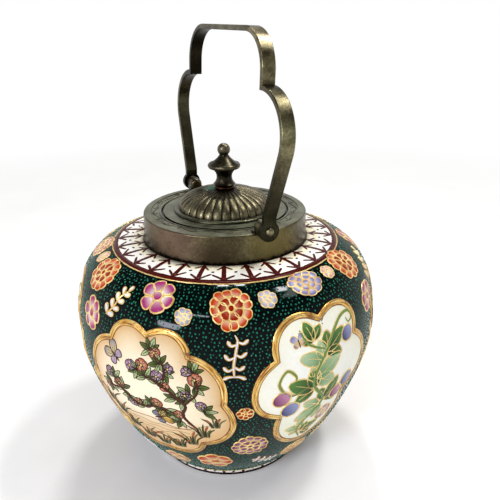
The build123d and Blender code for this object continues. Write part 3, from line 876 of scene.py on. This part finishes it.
def water_garden(spot):
    """A flowering bush and reeds on a bank over rippling water, with butterflies."""
    ink = (paintwork, tint(48, 30, 22))
    coral = (tint(222, 176, 140), tint(168, 52, 28))
    mauve = (tint(210, 188, 202), tint(126, 78, 110))
    dark = (tint(36, 46, 14), tint(104, 122, 58))
    light = (tint(126, 150, 92), tint(190, 202, 150))
    water(spot)
    for width, *points in (
        (2.0, (23, -16), (17, -6), (19, 3), (9, 12), (-3, 17)),
        (1.6, (17, -6), (5, -2), (-6, -5), (-17, 2), (-23, 10)),
        (1.4, (19, 3), (26, 11), (25, 20)), (1.2, (9, 12), (10, 22), (4, 29)), (1.0, (-17, 2), (-27, 0)),
    ):
        ridge(paintwork, spot, curve_through(points, 26), width, 0.5, BARK, taper=True)
    for x, y, angle in (
        (-5, 18, 80), (0, 15, 20), (6, 13, -20), (10, 20, -70), (8, 24, 60), (3, 30, 30), (-12, -1, 150),
        (-16, 3, 40), (-21, 8, 10), (-25, 1, 120), (1, -2, -10), (8, -4, 190), (-4, -5, 30), (25, 14, -80),
        (24, 22, 20), (19, 5, 70), (15, -10, 110), (28, -1, -50), (22, 10, 110), (15, 6, 20),
    ):
        tuft(spot, (x, y), angle, 6.2, (dark, light, dark), ink)
    for x, y, radius, tones in (
        (-2, 21, 3.6, coral), (-9, 19, 3.0, mauve), (6, 17, 3.4, mauve), (5, 29, 3.2, coral),
        (-18, 5, 3.6, coral), (-24, 10, 3.0, mauve), (-11, -5, 3.0, mauve), (4, 0, 3.4, coral),
        (25, 18, 3.6, coral), (20, 9, 3.2, mauve), (-27, 0, 3.0, coral), (27, 3, 2.8, mauve),
        (10, 12, 2.8, coral), (12, 22, 2.8, mauve), (-7, -3, 2.6, coral), (15, -5, 3.0, coral),
        (21, 22, 2.6, mauve),
    ):
        bloom(spot, (x, y), radius, tones, ink, 0.45)
    for clump in (
        (-30, -16, 12, 7), (-24, -22, 12, 7), (-17, -30, 12, 7), (-9, -36, 13, 8), (0, -38, 12, 7),
        (9, -37, 13, 8), (17, -32, 13, 7), (25, -23, 13, 7), (32, -14, 11, 6),
    ):
        grass(spot, *clump)
    butterfly(spot, (-19, 21), 52, 8.0, (tint(226, 200, 128), tint(124, 120, 136)),
              (tint(206, 192, 196), tint(138, 112, 140)), ink)
    butterfly(spot, (4, -10), -66, 7.5, (tint(226, 190, 96), tint(196, 140, 60)),
              (tint(150, 150, 160), tint(104, 104, 120)), ink)


def hanging_vine(spot):
    """A vine with broad green leaves and plums, all outlined in gold."""
    ink = (panel_gold, GOLD_LINE)
    dark = (tint(18, 52, 12), tint(96, 140, 74))
    light = (tint(96, 140, 84), tint(186, 212, 172))
    violet = (tint(52, 56, 104), tint(164, 170, 212))
    wine = (tint(96, 28, 72), tint(214, 150, 184))
    for width, *points in (
        (2.2, (-2, -38), (-7, -24), (4, -8), (-5, 8), (3, 24), (12, 36), (20, 38), (23, 34), (20, 32),
         (18, 35)),
        (1.5, (4, -8), (14, -12), (20, -4)),
        (1.5, (-5, 8), (-17, 4), (-24, 12), (-20, 19), (-15, 14), (-19, 10)),
        (1.4, (3, 24), (-8, 30), (-12, 38)), (1.3, (-7, -24), (6, -26), (9, -18)),
    ):
        path = curve_through(points, 5 * len(points) + 6)
        ridge(panel_gold, spot, path, width + 1.0, 0.24, GOLD_LINE, taper=True)
        ridge(paintwork, spot, path, width, 0.44, tint(112, 142, 78), taper=True)
    for x, y, angle, size, tones in (
        (2, -10, 118, 15, light), (5, -8, -32, 15, dark), (-4, 4, 62, 17, dark), (-3, 10, -62, 18, light),
        (1, 19, 68, 15, light), (3, 23, -58, 15, dark), (-5, 31, 20, 11, dark), (-5, -26, 74, 10, light),
        (-3, -31, -70, 11, dark),
    ):
        vine_leaf(spot, (x, y), angle, size, tones, ink)
    for x, y, radius, tones in ((21, -2, 5.2, violet), (13.5, -7, 4.6, wine), (-22, 3, 4.8, wine),
                                (-16, -6, 5.0, violet), (18, 27, 4.4, violet)):
        berry(spot, (x, y), radius, tones, ink)
    bloom(spot, (9, -21), 5.6, (WHITE, tint(150, 70, 128)), ink, 0.75, count=6)
    butterfly(spot, (-13, 32), 14, 5.2, (tint(206, 208, 232), tint(110, 112, 170)), (WHITE, MAUVE), ink)


# ---- borders
BAND_COLUMNS = 360
BAND_EDGE = 0.12             # mm over which a band rises out of the glaze


def ring_band(piece, low, high, lift, colour, waver=0.0, rows=2):
    """A flat band right round the jar between two lengths; waver roughens its edges by so many mm."""
    azimuth = np.linspace(0, math.tau, BAND_COLUMNS, endpoint=False)
    lengths = [low, low + BAND_EDGE, *np.linspace(low, high, rows)[1:-1], high - BAND_EDGE, high]
    lifts = [SUNK] + [lift] * (len(lengths) - 2) + [SUNK]
    shake = [waver * np.array([rng.uniform(-1, 1) for _ in azimuth]) for _ in range(2)]
    points = []
    for length, height in zip(lengths, lifts):
        share = (length - low) / (high - low)
        points.append(on_side(azimuth, length + (1 - share) * shake[0] + share * shake[1], height))
    piece.add(np.vstack(points), grid_faces(len(lengths), BAND_COLUMNS, closed=True), colour)


def stroke(spot, start, end, width, lift, colour, narrowing=0.0):
    """A flat-topped raised stroke on the border with rounded ends, narrower by a share at its end."""
    start, end = np.array(start, float), np.array(end, float)
    length = np.hypot(*(end - start))
    ahead = (end - start) / length
    shares = np.array([0, 0.02, 0.07, 0.2, 0.5, 0.8, 0.93, 0.98, 1])
    near_end = np.clip(np.minimum(shares, 1 - shares) * length / (0.5 * width), 0, 1)
    half = width / 2 * (1 - narrowing * shares) * np.sqrt(np.clip(1 - (1 - near_end)**2, 0.03, 1))
    across = np.array([-ahead[1], ahead[0]])
    middle = start + shares[:, None] * (end - start)
    flat = np.vstack([middle + across * (side * half)[:, None] for side in (-1, -0.72, 0.72, 1)])
    lifts = np.repeat([SUNK, lift, lift, SUNK], len(shares))
    border.lay(spot, flat, lifts, grid_faces(4, len(shares)), colour)


def tile_border(low, high, count, outer_band, bar_width, inner_band=0.0, splayed=False):
    """White tiles between radial bars, as a ring between two lengths; splayed bars have forked ends."""
    ring_band(border, low, high, 0.10, WHITE, rows=8)
    ring_band(border, high - 0.35 * (high - low), high, 0.12, tint(240, 230, 196), waver=0.4)
    ring_band(border, low, low + outer_band, 0.24, MAROON, waver=0.12)
    if inner_band:
        ring_band(border, high - inner_band, high, 0.24, MAROON)
    bottom, top = low + outer_band - 0.3, high - inner_band
    half = (top - bottom) / 2
    for number in range(count):
        azimuth = 360 / count * (number + rng.uniform(-0.05, 0.05))
        spot = Spot(azimuth, bottom + half)
        stroke(spot, (0, -half), (rng.uniform(-0.3, 0.3), half), bar_width, 0.27, MAROON, 0.15)
        if splayed:
            for side in (-1, 1):
                tip = (side * rng.uniform(4.3, 5.7), rng.uniform(3.2, 5.0) - half)
                stroke(spot, (0, 0.2 - half), tip, 1.75, 0.26, MAROON, 0.15)
                tip = (side * rng.uniform(3.2, 4.3), half - rng.uniform(4.2, 5.8))
                stroke(spot, (0, half - 1.2), tip, 1.55, 0.26, MAROON, 0.25)
        dot = Spot(azimuth + 180 / count, bottom + half + rng.uniform(-0.4, 0.4))
        stroke(dot, (-0.8, -0.2), (0.8, 0.2), 1.5, 0.26, tint(26, 16, 12))


# ---- what is where on the jar
SECTOR = 120.0               # one wide and one tall panel, three times round
WIDE_AZIMUTH = -51.5
TALL_AZIMUTH = 8.3
BORDER_LOW = 151.0           # lengths along the side
BORDER_HIGH = PROFILE_ALONG[-1] - 0.1
BASE_BORDER_LOW = 0.1
BASE_BORDER_HIGH = 3.5
DOT_PITCH = 2.1              # mm between the dots
DOT_CORNERS = 6
DOT_CLEARANCE = 0.9 * MM     # from a dot's middle to the nearest raised enamel


def add_panels():
    for number in range(3):
        mirrored = number == 1
        add_panel(WIDE_AZIMUTH + SECTOR * number, WIDE_PANEL, tint(204, 164, 110), tint(238, 226, 196),
                  tint(216, 176, 122), water_garden, mirrored)
        add_panel(TALL_AZIMUTH + SECTOR * number, TALL_PANEL, tint(238, 236, 214), tint(250, 250, 242),
                  tint(238, 238, 216), hanging_vine, mirrored)


def add_flowers():
    for number in range(3):
        shift = SECTOR * number
        back = number == 2
        mum(-22.6 + shift, 137.2, 10.1, turn=10)
        mum(37.5 - 1.4 * back + shift, 143.1 - 2.8 * back, 10.1, turn=-6)
        blossom(-50.6 + shift, 140.6, 8.7, PINK, turn=14)
        cluster(9.3 + shift, 144.0, 9.4, ROSE if back else LAVENDER, turn=6)
        posy(-39.0 + shift, 132.7, 4.1, BLUE, turn=20)
        posy(-9.0 + shift, 140.4, 4.4, LAVENDER, turn=-12)
        posy(23.5 + shift, 144.6, 4.0, ROSE, turn=8)
        posy(-18.9 + shift, 82.2, 4.0, RUST, ORANGE, turn=30)
        sprig(-21.9 + shift, 114.5, 24, turn=-4, mirrored=number == 1)
        leafy_sprig(-67.0 + shift, 132.0, 19.5, turn=-28)
        blossom(40.4 + shift, 120.0, 8.2, PINK, turn=24)
        mum(-16.0 + shift, 52.3, 9.6, MAUVE, MAUVE, tint(224, 200, 208), turn=4)
        blossom(-31.0 + shift, 33.6, 9.2, ORANGE, CREAM, turn=12)
        sprig(-7.5 + shift, 28.5, 17, turn=62)
        blossom(-51.5 + shift, 28.6, 7.2, ROSE, CREAM, turn=20)
        mum(9.6 + shift, 31.0, 8.4, ROSE, ROSE, turn=9)
        posy(44.5 + shift, 50.0, 5.4, BLUE, turn=4)
        blossom(28.4 + shift, 33.2, 8.0, ORANGE, CREAM, count=5, turn=2)
        posy(41.0 + shift, 84.0, 4.2, RUST, ORANGE, turn=14)
        sprig(48.6 + shift, 29.0, 16, turn=-58)


def inside_outline(x, y, outline):
    """Whether a flat point lies inside a closed outline."""
    after = np.roll(outline, -1, axis=0)
    crossed = (outline[:, 1] > y) != (after[:, 1] > y)
    rise = np.where(crossed, after[:, 1] - outline[:, 1], 1.0)
    at = outline[:, 0] + (y - outline[:, 1]) * (after[:, 0] - outline[:, 0]) / rise
    return np.count_nonzero(crossed & (x < at)) % 2 == 1


def is_free(azimuth, along, tree):
    """Whether a dot may stand here; the tree holds the points of flowers, twigs and rims."""
    point = on_side(np.array([azimuth]), np.array([along]), 0.0)[0]
    if tree.find(point)[2] < DOT_CLEARANCE:
        return False
    radius = side_radius(along)

    def right_of(middle):
        return radius * ((azimuth - middle + math.pi) % math.tau - math.pi)

    for middle, height, reach in flower_circles:
        if math.hypot(right_of(middle), along - height) < reach:
            return False
    for spot, outline in panel_outlines:
        x = right_of(spot.azimuth)
        if abs(x) < PANEL_REACH and inside_outline(spot.flip * x, along - PANEL_MIDDLE, outline):
            return False
    return True


def add_dots():
    """Small raised enamel dots on all the ground that the designs leave free."""
    taken = np.vstack([*outlines.points, *petals.points, *rims.points])
    tree = KDTree(len(taken))
    for number, point in enumerate(taken):
        tree.insert(point, number)
    tree.balance()
    ring = np.linspace(0, math.tau, DOT_CORNERS, endpoint=False)
    circle = np.column_stack([np.cos(ring), np.sin(ring)])
    lifts = np.repeat([SUNK, 0.20, 0.27], [DOT_CORNERS, DOT_CORNERS, 1])
    row = 0
    along = BASE_BORDER_HIGH + 1.4
    while along < BORDER_LOW - 1.2:
        count = round(math.tau * side_radius(along) / (DOT_PITCH * 1.06))
        for number in range(count):
            azimuth = (number + 0.5 * (row % 2) + rng.uniform(-0.27, 0.27)) * math.tau / count
            place = along + rng.uniform(-0.27, 0.27) * DOT_PITCH
            size = rng.uniform(0.38, 0.55)
            stretch = rng.uniform(1.0, 1.4)
            lean = rng.uniform(-0.6, 0.6)
            shade = rng.uniform(0.6, 1.45)
            if is_free(azimuth, place, tree):
                spot = Spot(math.degrees(azimuth), place, math.degrees(lean))
                shape = circle * (size, size * stretch)
                flat = np.vstack([shape, 0.62 * shape, [(0, 0)]])
                dots.lay(spot, flat, lifts, fan_faces(2, DOT_CORNERS), TEAL * shade)
        along += DOT_PITCH * 0.9
        row += 1


# ---- metalwork
SCROLL_INNER, SCROLL_OUTER = 36.4 * MM, 41.0 * MM    # radii of the sunk border on the collar's top
SCROLL_DEPTH = 0.25 * MM                             # of its floor below the collar's top
SCROLL_COUNT = 26


def collar_scrolls(material):
    """A running scroll in low relief in the sunk border of the collar's top."""
    floor_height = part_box("collar")[1].z - SCROLL_DEPTH
    middle = (SCROLL_INNER + SCROLL_OUTER) / 2
    half = (SCROLL_OUTER - SCROLL_INNER) / 2
    around = np.linspace(0, math.tau, 361)
    lines = [(around, middle + 0.5 * half * np.sin(0.5 * SCROLL_COUNT * around))]
    turns = np.linspace(0, 1, 26)
    reach = 0.62 * half * (1 - 0.75 * turns)
    x, y = 1.5 * reach * np.sin(5.2 * turns), 0.22 * half - reach * np.cos(5.2 * turns)
    for number in range(SCROLL_COUNT):
        side = 1 if number % 2 else -1
        lines.append(((number + 0.5) * math.tau / SCROLL_COUNT + x / middle, middle - side * y))
    piece = Piece()
    for sweep, radius in lines:
        line = np.column_stack([radius * np.cos(sweep), radius * np.sin(sweep)])
        rows = []
        for offset, lift in ((-0.30, -0.02), (-0.17, 0.18), (0.17, 0.18), (0.30, -0.02)):
            flat = line + leftward(line) * offset * MM
            rows.append(np.column_stack([flat, np.full(len(flat), floor_height + lift * MM)]))
        piece.add(np.vstack(rows), grid_faces(4, len(line)), WHITE)
    piece.finish("collar_scrolls", material, "jar")


def paint_nodes(material, *names):
    """Gives CAD pieces a material in place of their own."""
    for name in names:
        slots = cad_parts[name].data.materials
        slots.clear()
        slots.append(material)


def paint_collar():
    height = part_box("collar")[0].z
    paint_nodes(patina_material(
        "collar_patina", (36, 31, 22), (74, 67, 51), (106, 97, 74), dust_and_sheen=0.8,
        foot_grime_and_shade=(height, height + 4 * MM),
        # Painted reflections and shade on the skirt: a pinkish reflection, a dark shaded patch and an olive
        # reflection.
        painted_light_patches=(
            ((0.022, -0.041, height + 8 * MM), 0.024, (118, 96, 82), 0.7),
            ((0.041, -0.022, height + 5 * MM), 0.018, (52, 42, 30), 0.85),
            ((0.045, 0.008, height + 7 * MM), 0.022, (112, 102, 62), 0.7),
        ),
    ), "collar", "lug_left", "lug_right", "throat_ring")
    collar_scrolls(patina_material("scroll_patina", (40, 37, 29), (78, 75, 62), (104, 100, 84), dust_and_sheen=0.3))


def paint_handle():
    paint_nodes(patina_material(
        "handle_patina", (28, 25, 18), (92, 87, 67), (150, 143, 116),
        # Painted shade on the inner faces and towards the lower ends, with patches of painted light and shade
        # on the straps.
        shade_centre=(0, 0, 0.2), painted_shade_by_height=(0.168, 0.215, 0.16, 1.5),
        painted_light_patches=(
            ((-0.047, 0, 0.178), 0.034, (108, 102, 77), 0.8),
            ((-0.038, 0, 0.224), 0.050, (13, 11, 7), 0.95),
            ((0.053, 0, 0.176), 0.030, (44, 40, 26), 0.7),
        ),
    ), "handle")
    rivet = patina_material("rivet_patina", (44, 40, 30), (96, 90, 71), (140, 133, 109))
    paint_nodes(rivet, "rivet_left", "rivet_right")


def paint_lid():
    lid = patina_material("lid_patina", (40, 38, 28), (78, 76, 62), (106, 104, 86), dust_and_sheen=0.62)
    paint_nodes(lid, "lid_flange", "lid_sleeve")
    paint_nodes(patina_material(
        "dome_patina", (54, 49, 38), (104, 98, 79), (136, 129, 106),
        verdigris=((-0.0035, -0.0062, 0.1614), 0.0075), roughness=(0.32, 0.46),
    ), "lid_dome")
    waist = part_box("finial_bead")[1].z + 7.6 * MM
    paint_nodes(patina_material(
        "finial_patina", (36, 33, 26), (84, 79, 65), (122, 116, 98),
        # Painted shade: a near-black patch at the finial's waist.
        painted_light_patches=(((0, 0, waist), 0.014, (12, 10, 7), 1.0),), roughness=(0.28, 0.42),
    ), "finial_knob")
    paint_nodes(patina_material("bead_patina", (40, 26, 18), (78, 50, 36), (122, 70, 44)), "finial_bead")


def paint_hidden_parts():
    brass = plain_material("dull_brass", (80, 66, 42), (120, 102, 70), 700, 0.5, 1.0)
    paint_nodes(brass, "washer_left", "washer_right", "finial_stud", "finial_washer", "finial_nut")
    paint_nodes(plain_material("plaster", (196, 188, 172), (224, 218, 204), 500, 0.9), "plaster_bedding")


def add_porcelain():
    paint_nodes(porcelain_material(), "jar_body")
    add_panels()
    add_flowers()
    tile_border(BORDER_LOW, BORDER_HIGH, count=29, outer_band=2.9, bar_width=2.9, splayed=True)
    tile_border(BASE_BORDER_LOW, BASE_BORDER_HIGH, count=25, outer_band=0.5, bar_width=2.3, inner_band=0.7)
    add_dots()
    gold_edges = Piece()
    ring_band(gold_edges, BORDER_LOW - 0.55, BORDER_LOW + 0.1, 0.3, GOLD_LINE, waver=0.16)
    ring_band(gold_edges, BASE_BORDER_HIGH - 0.1, BASE_BORDER_HIGH + 0.4, 0.3, GOLD_LINE, waver=0.1)
    # A dark ring at the collar's foot: plaster residue, and a painted shadow line where the collar meets the
    # glaze.
    residue_and_shadow = Piece()
    ring_band(residue_and_shadow, BORDER_HIGH - 0.45, BORDER_HIGH, 0.3, BARK, waver=0.16)
    residue_and_shadow.finish("collar_residue_and_shadow", plain_material("plaster_grime_and_painted_shadow", (14, 10, 8), (44, 30, 22), 800, 0.8))
    gilding = gilding_material()
    dots.finish("enamel_dots", enamel_material("enamel_dots", 0.14))
    petals.finish("enamel_flowers", enamel_material("enamel_flowers", 0.14))
    outlines.finish("gilt_outlines", gilding)
    panel_gold.finish("gilt_panel_outlines", gilding)
    gold_edges.finish("gilt_border_lines", gilding)
    grounds.finish("panel_grounds", enamel_material("panel_grounds", 0.14, 0.05))
    rims.finish("panel_rims", rim_material())
    paintwork.finish("panel_paintings", enamel_material("panel_paintings", 0.2))
    border.finish("enamel_borders", enamel_material("enamel_borders", 0.16, 0.1))


# ---- floor and light
LAMP_AIM = Vector((0, 0, 0.12))


def add_floor():
    """A plain pale floor that fades into a white background."""
    bpy.ops.mesh.primitive_circle_add(vertices=96, radius=6, fill_type="NGON")
    floor = bpy.context.object
    floor.name = "floor"
    shader = Shader("floor")
    pale = shader.ramp(shader.noise(14, 4), (0.3, tint(242, 241, 238)), (0.7, tint(250, 249, 247)))
    shader.set(Base_Color=pale, Roughness=0.7)
    far = shader.span(shader.vector("LENGTH", shader.place())["Value"], 0.25, 0.9)
    white = shader.node("ShaderNodeEmission", (1, 1, 1, 1))
    shader.show(shader.math("MULTIPLY", shader.seen(), far), shader.bsdf, white, "Material Output")
    floor.data.materials.append(shader.material)


def add_world():
    """Soft even daylight; the camera and reflections see a white backdrop under a dim ceiling."""
    world = bpy.data.worlds.new("studio")
    bpy.context.scene.world = world
    world.use_nodes = True
    sky = Nodes(world.node_tree)
    daylight = sky.node("ShaderNodeBackground", (1.0, 0.995, 0.985, 1), 0.42)
    height = sky.height(sky.node("ShaderNodeTexCoord").outputs["Generated"])
    room = sky.node("ShaderNodeBackground", sky.ramp(height, (0.25, (1.0,) * 3), (0.62, (0.16,) * 3)), 1.0)
    sky.show(sky.seen(), daylight, room, "World Output")


def add_lamp(name, azimuth, elevation, distance, width, height, power, colour=(1.0, 1.0, 1.0)):
    """A soft box that faces the jar, from an azimuth and an elevation in degrees."""
    ray = ray_towards(azimuth, elevation)
    data = bpy.data.lights.new(name, "AREA")
    data.shape = "RECTANGLE"
    data.size = width
    data.size_y = height
    data.energy = power
    data.color = colour
    lamp = bpy.data.objects.new(name, data)
    lamp.location = LAMP_AIM + distance * ray
    lamp.rotation_euler = ray.to_track_quat("Z", "Y").to_euler()
    bpy.context.scene.collection.objects.link(lamp)


add_camera()
add_porcelain()
paint_collar()
paint_handle()
paint_lid()
paint_hidden_parts()
add_floor()
add_world()
add_lamp("ceiling_left", 153, 65, 1.1, 0.16, 0.09, 4.0)
add_lamp("ceiling_right", 82, 65, 1.1, 0.20, 0.10, 4.6)
add_lamp("window", -66, 18, 1.2, 0.34, 0.15, 7.6, (0.84, 0.86, 1.0))
add_lamp("upper_window", -50, 41, 1.2, 0.34, 0.05, 2.6, (0.92, 0.94, 1.0))
add_lamp("room", 66, 57, 1.5, 0.5, 0.24, 3.6)
bpy.context.scene.view_settings.view_transform = "Standard"
